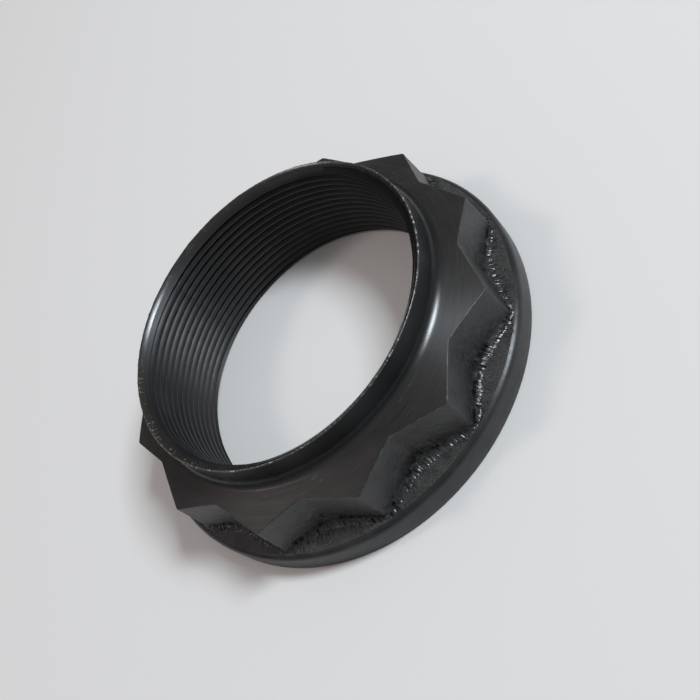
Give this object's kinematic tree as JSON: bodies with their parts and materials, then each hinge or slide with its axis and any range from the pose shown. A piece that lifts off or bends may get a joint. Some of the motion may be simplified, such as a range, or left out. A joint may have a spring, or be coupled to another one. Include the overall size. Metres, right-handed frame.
{
  "type": "twelve-point flange nut",
  "caption": "Round flanged nut with a twelve-point drive, a conical shoulder and a thin plain staking collar over a fine internal thread.",
  "frame": {"origin": "centre of the bearing face, on the axis of the thread", "axes": "+Z along the thread's axis from the bearing face to the collar's mouth, +X through a tip of the twelve-point drive"},
  "size_m": [0.1032, 0.1032, 0.0282],
  "materials": {
    "blackened_steel": "blackened, satin, with fine turning marks on the shoulder and a rough forged foot"
  },
  "bodies": {
    "root": {"hub_nut": "blackened_steel"}
  },
  "joints": []
}
